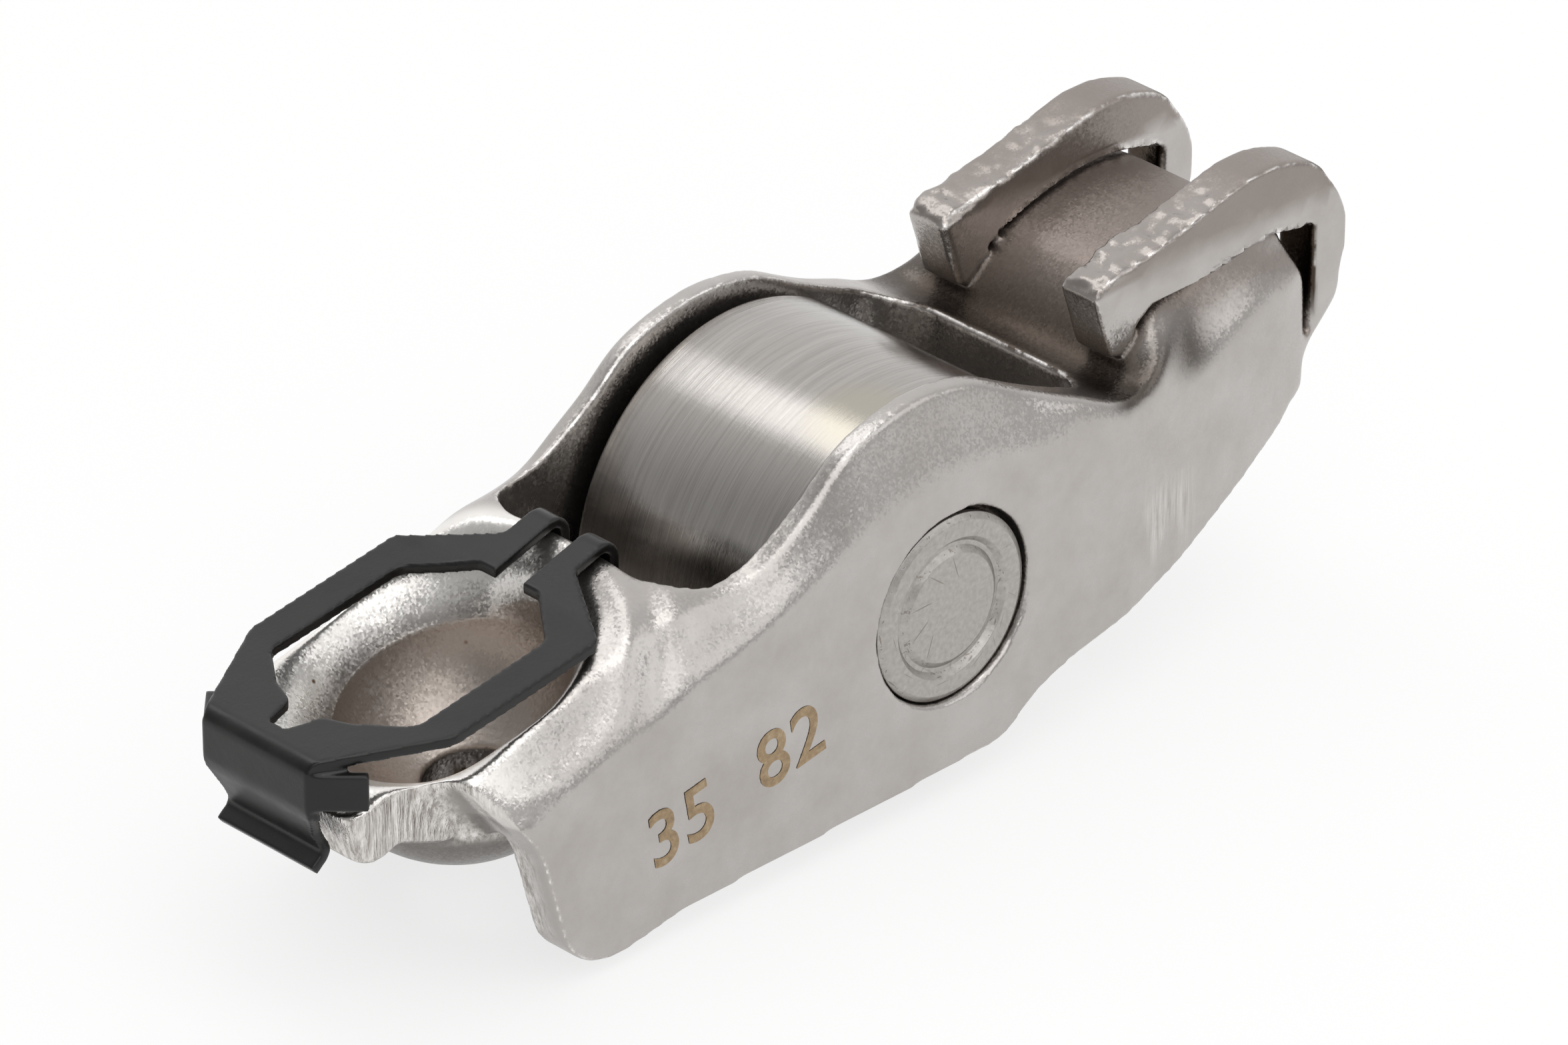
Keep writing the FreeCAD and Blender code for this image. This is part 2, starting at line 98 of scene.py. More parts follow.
# The socket: its ball seat, the rim where that ends, and the flare that opens from it
BALL_R = 5.0
RIM_DEPTH = 1.3
RIM_R = math.sqrt(BALL_R ** 2 - RIM_DEPTH ** 2)
FLARE_WIDTH = 2.1
FLARE_HEIGHT = 2.3
OIL_HOLE_X = -18.9

# The guides lie between these distances from the mid-plane; their front ends reach to GUIDE_FRONT
GUIDE_INNER = 3.15
GUIDE_OUTER = 5.25
GUIDE_FRONT = 9.2

# Other places along the lever: where the tail starts, its bend, the slit below each guide's hook,
# the dent in the flank and the sheared face in front
TAIL_X = 8.5
BEND_X = 20.2
BEND_Z = PAD.z - 6.5
SLIT_X = 21.6
FLANK_X = 14.0
SCUFF_X = 12.5
SCUFF_Z = -1.2
FRONT_X = -13.5

# How far the lever's skin is pushed out or in
RIPPLE_HEIGHT = 0.13
HAMMER_DEPTH = 0.13
END_SWELL = 0.22
UNDERSIDE_DROP = 0.2
WALL_WAVE = 0.01

# What is cut off the clip on both sides of its lip's waist, from and to in x, y and z
LIP_X = (-31.0, -26.5)
LIP_Y = ((-7.05, -3.05), (3.05, 7.05))
LIP_Z = (-4.0, 1.15)

# The size of the skins' faces, and the most triangles that one may have
VOXEL = 0.125
CLIP_VOXEL = 0.08
MOST_TRIANGLES = 190000

# The steel's grain is really about 0.05 mm; it is drawn at nearly twice that so that it shows
GRAIN = 0.09
GRAIN_TILT = 0.13
SPECK_SPACING = 4.2
SPECK_RADIUS = 0.13

# The middle of the oil's stain on the roller
OIL_STAIN = (-2.2, -4.4, 8.2)

# The colour mixer's two inputs and its output, by number because several share a name
MIX_A = 6
MIX_B = 7
MIX_RESULT = 2

# The numbers on the near wall: where they start (x, z) and how far their line leans, in degrees
NUMBERS_AT = (-16.3, -5.0)
NUMBERS_LEAN = 10.5


def tint(code):
    """An sRGB hex colour as linear red, green, blue and alpha."""
    channels = [int(code[i:i + 2], 16) / 255 for i in (1, 3, 5)]
    return [c / 12.92 if c <= 0.04045 else ((c + 0.055) / 1.055) ** 2.4 for c in channels] + [1.0]


def add(tree, kind, inputs=None, **settings):
    """Add a node with its settings. An input is a value, or (node, output) for a link."""
    made = tree.nodes.new(kind)
    for key, value in settings.items():
        setattr(made, key, value)
    for key, value in (inputs or {}).items():
        if isinstance(value, tuple) and isinstance(value[0], bpy.types.Node):
            tree.links.new(value[0].outputs[value[1]], made.inputs[key])
        else:
            made.inputs[key].default_value = value
    return made


def new_material(name):
    """An empty material, its node tree and the place on the object that its patterns follow."""
    material = bpy.data.materials.new(name)
    material.use_nodes = True
    tree = material.node_tree
    tree.nodes.clear()
    return material, tree, (add(tree, "ShaderNodeTexCoord"), "Object")


def noise(tree, place, scale, detail, roughness=0.5):
    return add(tree, "ShaderNodeTexNoise", {"Vector": place, "Scale": scale, "Detail": detail,
                                            "Roughness": roughness})


def remap(tree, value, from_low, from_high, to_low=0.0, to_high=1.0):
    """A value stretched from one span to another and held at its ends."""
    made = add(tree, "ShaderNodeMapRange", {"Value": value, "From Min": from_low, "From Max": from_high,
                                            "To Min": to_low, "To Max": to_high})
    return (made, "Result")


def mix(tree, mask, below, above):
    """One colour over another by a mask."""
    made = add(tree, "ShaderNodeMix", {"Factor": mask, MIX_A: below, MIX_B: above}, data_type="RGBA")
    return (made, MIX_RESULT)


def bump(tree, height, strength, depth, below=None, **settings):
    """A relief of a given depth in mm, on top of another normal."""
    inputs = {"Height": height, "Strength": strength, "Distance": depth * MM}
    if below:
        inputs["Normal"] = below
    return (add(tree, "ShaderNodeBump", inputs, **settings), "Normal")


def painted_on(tree, name):
    """A mask that a piece's points carry."""
    return (add(tree, "ShaderNodeAttribute", attribute_name=name), "Fac")


def coat(tree, colour, roughness, normal=None, metallic=1.0, ior=1.5):
    """The surface itself, joined to the material's output."""
    inputs = {"Base Color": colour, "Metallic": metallic, "Roughness": roughness, "IOR": ior}
    if normal:
        inputs["Normal"] = normal
    shader = add(tree, "ShaderNodeBsdfPrincipled", inputs)
    add(tree, "ShaderNodeOutputMaterial", {"Surface": (shader, "BSDF")})


def ramp(tree, source, stops):
    """A colour ramp over (position, colour) stops."""
    made = add(tree, "ShaderNodeValToRGB", {"Fac": source})
    band = made.color_ramp
    for i, (place, colour) in enumerate(stops):
        element = band.elements[i] if i < 2 else band.elements.new(place)
        element.position = place
        element.color = tint(colour)
    return (made, "Color")


def specks(tree, here, spacing, radius):
    """Round spots of a given radius, scattered about so far apart, as a mask; sizes in mm."""
    near = add(tree, "ShaderNodeTexVoronoi", {"Vector": here, "Scale": 1 / (spacing * MM)})
    reach = radius / spacing
    return remap(tree, (near, "Distance"), reach, 0.5 * reach)


def facets(tree, here, size, tilt):
    """The normal, with each tiny grain of a given size in mm turned its own way by up to tilt."""
    cells = add(tree, "ShaderNodeTexVoronoi", {"Vector": here, "Scale": 1 / (size * MM)})
    centred = add(tree, "ShaderNodeVectorMath", {0: (cells, "Color"), 1: (0.5, 0.5, 0.5)},
                  operation="SUBTRACT")
    leaned = add(tree, "ShaderNodeVectorMath", {0: (centred, "Vector"), "Scale": tilt}, operation="SCALE")
    flat = add(tree, "ShaderNodeNewGeometry")
    bent = add(tree, "ShaderNodeVectorMath", {0: (flat, "Normal"), 1: (leaned, "Vector")}, operation="ADD")
    return (add(tree, "ShaderNodeVectorMath", {0: (bent, "Vector")}, operation="NORMALIZE"), "Vector")


def tumbled_steel():
    """Case-hardened pressed steel, tumbled: a satin grey whose fine grain glitters on the bends."""
    material, tree, here = new_material("tumbled case-hardened steel")
    dents = noise(tree, here, 1.6 / MM, 3.0, 0.6)
    cloud = noise(tree, here, 0.3 / MM, 4.0, 0.65)
    lines = add(tree, "ShaderNodeMapping", {"Vector": here, "Scale": (5.0 / MM, 5.0 / MM, 0.35 / MM)})
    shear = noise(tree, (lines, "Vector"), 1.0, 3.0, 0.7)
    cut = painted_on(tree, "cut")
    seat = painted_on(tree, "seat")
    tempered = painted_on(tree, "tempered")

    chipped = remap(tree, (dents, "Fac"), 0.42, 0.56)
    worn_and_highlit = add(tree, "ShaderNodeMath", {0: painted_on(tree, "edge"), 1: chipped}, operation="MULTIPLY")
    steel = ramp(tree, (cloud, "Fac"), [(0.3, "#B0ABA7"), (0.7, "#BDB9B6")])
    streaks = ramp(tree, (shear, "Fac"), [(0.35, "#A39D97"), (0.5, "#CFCBC7"), (0.65, "#ECE9E6")])
    layers = [
        # Painted highlight: the far side of the socket's flare made near white
        (painted_on(tree, "bowl"), tint("#EFECE8")),
        (tempered, tint("#8B817B")),
        (seat, tint("#B5ABA3")),
        # Painted shade: a dark brown where the lever's recesses, holes and undersides fall into shade
        (painted_on(tree, "hollow"), tint("#453C34")),
        (cut, streaks),
        (specks(tree, here, SPECK_SPACING, SPECK_RADIUS), tint("#7A5F4B")),
        # Convex edges lightened near white: partly real wear, partly painted highlight
        ((worn_and_highlit, 0), tint("#F0EDEA")),
    ]
    colour = steel
    for mask, layer in layers:
        colour = mix(tree, mask, colour, layer)

    satin = remap(tree, (cloud, "Fac"), 0.3, 0.7, 0.31, 0.26)
    rubbed = add(tree, "ShaderNodeMath", {0: (worn_and_highlit, 0), 1: -0.12, 2: satin}, operation="MULTIPLY_ADD")
    dull = add(tree, "ShaderNodeMath", {0: seat, 1: tempered}, operation="MAXIMUM")
    matt = add(tree, "ShaderNodeMath", {0: (dull, 0), 1: 0.12, 2: (rubbed, 0)}, operation="MULTIPLY_ADD")
    struck = add(tree, "ShaderNodeMath", {0: painted_on(tree, "beaten"), 1: -0.06, 2: (matt, 0)},
                 operation="MULTIPLY_ADD")

    sparkle = facets(tree, here, GRAIN, GRAIN_TILT)
    uneven = bump(tree, (dents, "Fac"), 0.15, 0.06, sparkle)
    sheared = bump(tree, (shear, "Fac"), cut, 0.12, uneven)
    coat(tree, colour, (struck, 0), sheared)
    return material


def ground_steel():
    """Hardened bearing steel, ground round its outside: fine lines that follow the turn."""
    material, tree, here = new_material("ground bearing steel")
    along = add(tree, "ShaderNodeMapping", {"Vector": here, "Scale": (0.16 / MM, 6.0 / MM, 0.16 / MM)})
    lines = noise(tree, (along, "Vector"), 1.0, 5.0, 0.75)
    cloud = noise(tree, here, 0.3 / MM, 3.0)
    from_oil = add(tree, "ShaderNodeVectorMath", {0: here, 1: Vector(OIL_STAIN) * MM}, operation="DISTANCE")
    oiled = remap(tree, (from_oil, "Value"), 2.6 * MM, 1.2 * MM)
    steel = ramp(tree, (lines, "Fac"), [(0.3, "#9C9894"), (0.5, "#ABA7A3"), (0.7, "#B6B2AE")])
    stained = mix(tree, oiled, steel, tint("#B0ABA0"))
    rough = remap(tree, (cloud, "Fac"), 0.3, 0.7, 0.12, 0.16)
    coat(tree, stained, rough, bump(tree, (lines, "Fac"), 0.5, 0.02))
    return material


def hairlines(tree, here, turns, axis, size, cut):
    """Fine straight scratches lying every way, as one mask; size is (length, width) scale in 1/mm."""
    mask = None
    for turn in turns:
        spun = add(tree, "ShaderNodeVectorRotate", {"Vector": here, "Axis": axis, "Angle": turn})
        drawn = add(tree, "ShaderNodeMapping", {"Vector": (spun, "Vector"),
                                                "Scale": (size[1] / MM, size[1] / MM, size[0] / MM)})
        line = remap(tree, (noise(tree, (drawn, "Vector"), 1.0, 1.0), "Fac"), cut, cut + 0.05)
        if mask is None:
            mask = line
        else:
            mask = (add(tree, "ShaderNodeMath", {0: mask, 1: line}, operation="MAXIMUM"), 0)
    return mask


def pin_steel():
    """Soft-ended pin steel, pressed flat: satin grey with short scratches every way."""
    material, tree, here = new_material("staked pin steel")
    grain = noise(tree, here, 4.5 / MM, 3.0)
    scratches = hairlines(tree, here, (0.3, 0.9, 1.6, 2.2, 2.8), (0.0, 1.0, 0.0), (0.3, 9.0), 0.7)
    steel = ramp(tree, (grain, "Fac"), [(0.3, "#A5A19D"), (0.7, "#B6B3AF")])
    marked = mix(tree, scratches, steel, tint("#938C84"))
    grained = bump(tree, (grain, "Fac"), 0.3, 0.04)
    coat(tree, marked, 0.38, bump(tree, scratches, 0.5, 0.02, grained, invert=True))
    return material


def needle_steel():
    """Lapped needle steel: near mirror bright, a little cloudy with oil."""
    material, tree, here = new_material("lapped needle steel")
    cloud = noise(tree, here, 1.2 / MM, 2.0)
    steel = ramp(tree, (cloud, "Fac"), [(0.3, "#C9C5BC"), (0.7, "#DAD8D4")])
    coat(tree, steel, remap(tree, (cloud, "Fac"), 0.0, 1.0, 0.12, 0.28))
    return material


def black_oxide():
    """Blackened spring steel: a thin oiled oxide, near black, rubbed grey on its edges."""
    material, tree, here = new_material("blackened spring steel")
    grain = noise(tree, here, 3.0 / MM, 4.0, 0.7)
    cloud = noise(tree, here, 0.5 / MM, 4.0)
    oxide = ramp(tree, (cloud, "Fac"), [(0.35, "#080707"), (0.7, "#151413")])
    rub = add(tree, "ShaderNodeMath", {0: painted_on(tree, "edge"), 1: (grain, "Fac")},
              operation="MULTIPLY")
    rubbed = mix(tree, (rub, 0), oxide, tint("#7A7570"))
    rough = remap(tree, (cloud, "Fac"), 0.3, 0.7, 0.24, 0.44)
    coat(tree, rubbed, rough, bump(tree, (grain, "Fac"), 0.3, 0.03), metallic=0.0, ior=1.45)
    return material


def laser_etch():
    """Steel darkened by a marking laser: straw to brown, uneven where the beam overlaps."""
    material, tree, here = new_material("laser-etched steel")
    burn = noise(tree, here, 3.0 / MM, 4.0, 0.7)
    brown = ramp(tree, (burn, "Fac"), [(0.3, "#8C7860"), (0.55, "#A69072"), (0.75, "#B7A88F")])
    coat(tree, brown, 0.5, bump(tree, (burn, "Fac"), 0.5, 0.03), metallic=0.8)
    return material


def floor_paper():
    """White paper lit until it is nearly blank: what the eye and the metal see is partly its own glow."""
    material, tree, _ = new_material("bright background paper")
    shader = add(tree, "ShaderNodeBsdfPrincipled", {"Base Color": tint("#F4F4F3"), "Roughness": 0.9,
                                                    "Specular IOR Level": 0.1})
    glow = add(tree, "ShaderNodeEmission", {"Color": tint("#FFFFFF"), "Strength": 1.0})
    seen = add(tree, "ShaderNodeLightPath")
    glossed = add(tree, "ShaderNodeMath", {0: (seen, "Is Glossy Ray"), 1: 0.62}, operation="MULTIPLY")
    share = add(tree, "ShaderNodeMath", {0: (seen, "Is Camera Ray"), 1: 0.75, 2: (glossed, 0)},
                operation="MULTIPLY_ADD")
    both = add(tree, "ShaderNodeMixShader", {0: (share, 0), 1: (shader, "BSDF"), 2: (glow, 0)})
    add(tree, "ShaderNodeOutputMaterial", {"Surface": (both, 0)})
    return material


def show(name, mesh):
    piece = bpy.data.objects.new(name, mesh)
    bpy.context.scene.collection.objects.link(piece)
    return piece


def baked(piece):
    """Apply a piece's modifiers and leave a plain mesh."""
    bpy.context.view_layer.update()
    graph = bpy.context.evaluated_depsgraph_get()
    mesh = bpy.data.meshes.new_from_object(piece.evaluated_get(graph))
    piece.modifiers.clear()
    piece.data = mesh
    return piece


def blocks(name, spans):
    """Boxes between (lowest, highest) corners, in one mesh."""
    shape = bmesh.new()
    for low, high in spans:
        cube = bmesh.ops.create_cube(shape, size=1.0)["verts"]
        bmesh.ops.scale(shape, vec=Vector(high) - Vector(low), verts=cube)
        bmesh.ops.translate(shape, vec=(Vector(high) + Vector(low)) / 2, verts=cube)
    mesh = bpy.data.meshes.new(name)
    shape.to_mesh(mesh)
    shape.free()
    return show(name, mesh)


def remeshed(name, node, voxel, rounds, cutter=None):
    """A copy of a CAD node in small even faces, with its edges rounded by smoothing."""
    mesh = frame["nodes"][node].data.copy()
    mesh.materials.clear()
    shape = bmesh.new()
    shape.from_mesh(mesh)
    bmesh.ops.remove_doubles(shape, verts=shape.verts, dist=1e-7)
    bmesh.ops.scale(shape, vec=(1 / MM, 1 / MM, 1 / MM), verts=shape.verts)
    shape.to_mesh(mesh)
    shape.free()
    piece = show(name, mesh)
    if cutter:
        trim = piece.modifiers.new("trimmed", "BOOLEAN")
        trim.operation = "DIFFERENCE"
        trim.object = cutter
    remesh = piece.modifiers.new("even faces", "REMESH")
    remesh.mode = "VOXEL"
    remesh.voxel_size = voxel
    smooth = piece.modifiers.new("rounded edges", "SMOOTH")
    smooth.factor = 0.5
    smooth.iterations = rounds
    return baked(piece)


class Skin:
    """A mesh's points, normals and neighbours as arrays, in mm."""

    def __init__(self, mesh):
        self.mesh = mesh
        count = len(mesh.vertices)
        self.points = np.zeros(count * 3)
        mesh.vertices.foreach_get("co", self.points)
        self.points = self.points.reshape(-1, 3)
        self.edges = np.zeros(len(mesh.edges) * 2, int)
        mesh.edges.foreach_get("vertices", self.edges)
        self.edges = self.edges.reshape(-1, 2)
        self.valence = np.bincount(self.edges.ravel(), minlength=count)
        self.read_normals()

    def read_normals(self):
        normals = np.zeros(len(self.points) * 3)
        self.mesh.vertices.foreach_get("normal", normals)
        self.normals = normals.reshape(-1, 3)

    def around(self, values):
        """Each vertex's mean of its neighbours' values."""
        if values.ndim > 1:
            return np.stack([self.around(column) for column in values.T], axis=1)
        one, two = self.edges.T
        total = np.bincount(one, values[two], len(values)) + np.bincount(two, values[one], len(values))
        return total / np.maximum(self.valence, 1)

    def spread(self, values, rounds):
        for _ in range(rounds):
            values = 0.5 * values + 0.5 * self.around(values)
        return values

    def bulge(self, rounds):
        """How far each point stands out from its smoothed surroundings, in mm."""
        drift = self.points - self.spread(self.points, rounds)
        return (drift * self.normals).sum(1)

    def push(self, distance):
        self.move(self.points + self.normals * distance[:, None])

    def relax(self, mask, rounds):
        """Smooth the shape where the mask is 1; more rounds reach further."""
        smooth = self.spread(self.points, rounds)
        self.move(self.points + (smooth - self.points) * mask[:, None])

    def move(self, points):
        self.points = points
        self.mesh.vertices.foreach_set("co", self.points.ravel())
        self.mesh.update()
        self.read_normals()

    def mark(self, name, values):
        layer = self.mesh.attributes.new(name, "FLOAT", "POINT")
        layer.data.foreach_set("value", np.clip(values, 0, 1).astype(np.float32))


def step(values, low, high):
    """0 below low, 1 above high and smooth between them; high may be the lower number."""
    t = np.clip((values - low) / (high - low), 0, 1)
    return t * t * (3 - 2 * t)


def waves(points, size, seed):
    """Smooth random heights from -1 to 1 with lumps of about the given size in mm."""
    random = np.random.default_rng(seed)
    lattice = random.uniform(-1, 1, (32, 32, 32))
    spot = points / size
    cell = np.floor(spot).astype(int)
    t = spot - cell
    t = t * t * (3 - 2 * t)
    total = np.zeros(len(points))
    for corner in np.ndindex(2, 2, 2):
        index = (cell + corner) % 32
        weight = np.ones(len(points))
        for axis in range(3):
            weight = weight * (t[:, axis] if corner[axis] else 1 - t[:, axis])
        total += weight * lattice[index[:, 0], index[:, 1], index[:, 2]]
    return total


def finish_skin(piece):
    """Thin a skin where it is too fine, bring it back to metres and shade it smooth."""
    triangles = sum(len(face.vertices) - 2 for face in piece.data.polygons)
    if triangles > MOST_TRIANGLES:
        thin = piece.modifiers.new("fewer faces", "DECIMATE")
        thin.ratio = MOST_TRIANGLES / triangles
        baked(piece)
    mesh = piece.data
    points = np.zeros(len(mesh.vertices) * 3)
    mesh.vertices.foreach_get("co", points)
    mesh.vertices.foreach_set("co", points * MM)
    mesh.shade_smooth()
    mesh.update()
    return piece


def from_socket(skin):
    """Each point's offset from the ball's centre, its height up the socket's axis and its distance
    from that axis."""
    reach = skin.points - np.array(SOCKET)
    above = reach @ np.array(SOCKET_UP)
    from_axis = np.linalg.norm(reach - above[:, None] * np.array(SOCKET_UP), axis=1)
    return reach, above, from_axis


def open_socket(skin):
    """Open the socket's flare on its far and front sides and smooth its mouth. Gives back two masks,
    the mouth and the side that was opened, and each point's distance from the socket's axis."""
    reach, above, from_axis = from_socket(skin)
    spread_out = np.clip((from_axis - RIM_R) / FLARE_WIDTH, 0, 1)
    flare = FLARE_HEIGHT * np.sin(spread_out * math.pi / 2) - RIM_DEPTH
    opened = (from_axis > RIM_R) * (from_axis < RIM_R + FLARE_WIDTH) * (above > -RIM_DEPTH)
    aside = (0.8 * reach[:, 1] - 0.6 * reach[:, 0]) / np.maximum(from_axis, 0.1)
    lowered = np.where(opened, np.maximum(above - flare, 0), 0) * step(aside, -0.7, 0.0)
    skin.move(skin.points - lowered[:, None] * np.array(SOCKET_UP))
    mouth = step(from_axis, RIM_R + 0.1, RIM_R + 0.5) * step(from_axis, RIM_R + 4.0, RIM_R + 2.8)
    skin.relax(mouth * step(above, -RIM_DEPTH, -RIM_DEPTH + 0.5), rounds=24)
    ripple = np.exp(-((from_axis - 7.3) / 0.5) ** 2) - np.exp(-((from_axis - 8.4) / 0.6) ** 2)
    near_side = step(-reach[:, 1] + reach[:, 0], 0.0, 5.0) * step(above, -2.5, -0.5)
    skin.push(RIPPLE_HEIGHT * ripple * near_side)
    return mouth, step(aside, -0.8, -0.2), from_axis


def soften_tail(skin):
    """Smooth the tail's bend, then the flanks below the guides."""
    x, y, z = skin.points.T
    bend = step(x, BEND_X, BEND_X + 1.0) * step(abs(z - BEND_Z), 3.8, 2.6)
    skin.relax(bend, rounds=40)
    x, y, z = skin.points.T
    flank = step(abs(y), 5.3, 5.9) * step(abs(x - FLANK_X), 3.6, 2.2) * step(z, 0.0, 2.0)
    skin.relax(flank, rounds=60)


def across_guides(side):
    """1 across the width of both guides."""
    return step(side, GUIDE_INNER - 0.3, GUIDE_INNER) * step(side, GUIDE_OUTER + 0.3, GUIDE_OUTER)


def struck(skin, guides, x, z, up):
    """Where the guides' tops and front ends were beaten, as a mask."""
    tops = guides * step(up, 0.25, 0.6) * step(x, 19.0, 15.5)
    tops = tops * step(waves(skin.points, 2.4, seed=6), -0.5, 0.2)
    ends = guides * step(x, GUIDE_FRONT + 3.2, GUIDE_FRONT + 1.8) * step(z, PAD.z + 0.1, PAD.z + 0.8)
    return np.maximum(tops, ends)


def forge_guides(skin, guides, beaten, x, z, up, side):
    """Round the guides' front ends, swell them, lower the undersides and leave hammer marks."""
    hammer = np.maximum(waves(skin.points, 0.8, seed=3), -0.35) + 0.7 * waves(skin.points, 0.4, seed=4)
    corners = skin.spread(step(skin.bulge(rounds=4), 0.008, 0.02), rounds=2)
    skin.relax(corners, rounds=10)
    skin.relax(guides * step(x, GUIDE_FRONT + 3.8, GUIDE_FRONT + 2.0), rounds=30)
    beneath = step(side, GUIDE_INNER - 0.2, GUIDE_INNER + 0.1) * step(up, -0.4, -0.7)
    beneath = beneath * step(z, PAD.z - 1.2, PAD.z - 0.6)
    beneath = beneath * step(x, GUIDE_FRONT + 2.2, GUIDE_FRONT + 3.2) * step(x, SLIT_X + 0.9, SLIT_X - 0.1)
    skin.push(UNDERSIDE_DROP * beneath)
    swollen = guides * step(x, GUIDE_FRONT + 3.4, GUIDE_FRONT + 1.2) * (1 - abs(up))
    swollen = swollen * step(z, PAD.z + 0.8, PAD.z + 2.2)
    wavy = WALL_WAVE * waves(skin.points, 2.6, seed=5)
    skin.push(HAMMER_DEPTH * beaten * hammer + END_SWELL * swollen + wavy)
    skin.move(np.clip(skin.points, np.array(lever_low), np.array(lever_high)))


def lever():
    """The pressed lever with softened edges and hammered guides, its corners lightened partly by wear and
    partly as painted highlight; painted shade darkens its recesses and a painted highlight whitens the
    socket's flare.
    """
    piece = remeshed("lever", "lever_body", VOXEL, rounds=4)
    skin = Skin(piece.data)
    mouth, far_side, from_axis = open_socket(skin)
    soften_tail(skin)
    x, y, z = skin.points.T
    up = skin.normals[:, 2]
    side = abs(y)

    guides = across_guides(side) * step(z, PAD.z + 0.1, PAD.z + 0.5) * step(x, GUIDE_FRONT, GUIDE_FRONT + 0.4)
    beaten = struck(skin, guides, x, z, up)
    # Convex edges, later lightened near white: partly real wear, partly painted highlight along the edges
    edge = step(skin.bulge(rounds=4), 0.018, 0.034) * step(from_axis, RIM_R + 0.5, RIM_R + 1.0)
    skin.mark("edge", edge * step(np.hypot(x, z), PIN_END_R + 0.6, PIN_END_R + 1.0))
    skin.mark("beaten", beaten)
    forge_guides(skin, guides, beaten, x, z, up, side)

    # x, y, z and up are still those from before the guides were forged, so that hammer marks don't
    # break up the masks
    reach, above, _ = from_socket(skin)
    from_ball = np.linalg.norm(reach, axis=1)
    # Painted shade, darkened in colour where shade falls: the oil hole, the slit under each guide's hook, the
    # underside below the dome, the valley before the pad and the concave hollows towards the tail
    in_hole = step(np.hypot(x - OIL_HOLE_X, y), 2.0, 1.85) * step(above, -2.0, -3.0)
    in_hole = in_hole * step(from_ball, BALL_R + 0.15, BALL_R + 0.4)
    in_slit = across_guides(side) * step(abs(skin.normals[:, 0]), 0.35, 0.6)
    in_slit = in_slit * step(abs(x - SLIT_X), 1.6, 1.3) * step(z, PAD.z - 5.5, PAD.z - 4.5)
    under_dome = step(up, -0.1, -0.4) * step(x, FRONT_X + 1.0, FRONT_X) * step(side, 5.6, 5.2)
    tail = step(x, TAIL_X, TAIL_X + 1.5) * step(up, 0.1, 0.5)
    in_valley = tail * step(z, PAD.z - 0.8, PAD.z - 3.2) * step(x, FLANK_X + 3.0, FLANK_X)
    dented = step(-skin.spread(skin.bulge(rounds=40), rounds=8), 0.05, 0.16)
    dented = dented * step(x, TAIL_X - 4.5, TAIL_X - 1.5) * step(side, 6.2, 5.4)
    dark = [dented, in_slit, 0.7 * under_dome, in_hole, 0.85 * in_valley]
    skin.mark("hollow", np.maximum.reduce(dark))

    front_cut = step(x, FRONT_X, FRONT_X - 2.0) * step(abs(up), 0.55, 0.35) * step(side, 7.2, 5.8)
    front_cut = front_cut * step(from_ball, BALL_R + 0.9, BALL_R + 1.4) * (1 - in_hole)
    scuff = step(abs(x - SCUFF_X), 2.2, 1.0) * step(abs(z - SCUFF_Z), 2.2, 0.8) * step(side, 5.0, 6.0)
    scuff = scuff * step(waves(skin.points, 0.9, seed=9), -0.2, 0.4)
    skin.mark("cut", np.maximum(front_cut, 0.5 * scuff))

    browned = tail * step(side, 5.9, 4.9) * (1 - guides) + 0.8 * guides * (1 - 0.4 * beaten)
    skin.mark("tempered", browned)
    skin.mark("seat", step(from_ball, BALL_R + 0.22, BALL_R + 0.08) * step(above, -1.1, -1.5))
    # Painted highlight: the far side of the socket's flare is made near white, standing in for the light it
    # would catch
    skin.mark("bowl", mouth * far_side * step(above, -RIM_DEPTH - 0.1, -RIM_DEPTH + 0.2))
    piece.data.materials.append(tumbled_steel())
    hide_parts("lever_body")
    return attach(finish_skin(piece), "lever")


def clip():
    """The bent spring clip, its lip trimmed beside the waist and its sheared edges rubbed bright."""
    spans = [((LIP_X[0], low, LIP_Z[0]), (LIP_X[1], high, LIP_Z[1])) for low, high in LIP_Y]
    beside_lip = blocks("beside the lip", spans)
    piece = remeshed("spring_clip", "retaining_clip", CLIP_VOXEL, rounds=3, cutter=beside_lip)
    bpy.data.objects.remove(beside_lip)
    skin = Skin(piece.data)
    skin.push(0.006 * waves(skin.points, 1.5, seed=8))
    rubbed = step(skin.bulge(rounds=2), 0.008, 0.02) * step(waves(skin.points, 0.8, seed=11), -0.4, 0.5)
    skin.mark("edge", 0.3 * rubbed)
    piece.data.materials.append(black_oxide())
    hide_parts("retaining_clip")
    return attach(finish_skin(piece), "lever")


def turned(name, outline, material, segments=160):
    """A solid or ring turned about the Y axis from (radius, y) points in mm."""
    shape = bmesh.new()
    rings = []
    for radius, y in outline:
        ring = []
        count = segments if radius > 0 else 1
        for i in range(count):
            angle = 2 * math.pi * i / segments
            at = (radius * math.sin(angle) * MM, y * MM, radius * math.cos(angle) * MM)
            ring.append(shape.verts.new(at))
        rings.append(ring)
    pairs = list(zip(rings, rings[1:]))
    if len(rings[0]) > 1:
        pairs.append((rings[-1], rings[0]))
    for one, two in pairs:
        for i in range(segments):
            near = [one[i % len(one)], one[(i + 1) % len(one)]]
            far = [two[(i + 1) % len(two)], two[i % len(two)]]
            corners = list(dict.fromkeys(near + far))
            if len(corners) > 2:
                shape.faces.new(corners)
    bmesh.ops.recalc_face_normals(shape, faces=shape.faces)
    mesh = bpy.data.meshes.new(name)
    shape.to_mesh(mesh)
    shape.free()
    mesh.materials.append(material)
    mesh.shade_smooth()
    return show(name, mesh)


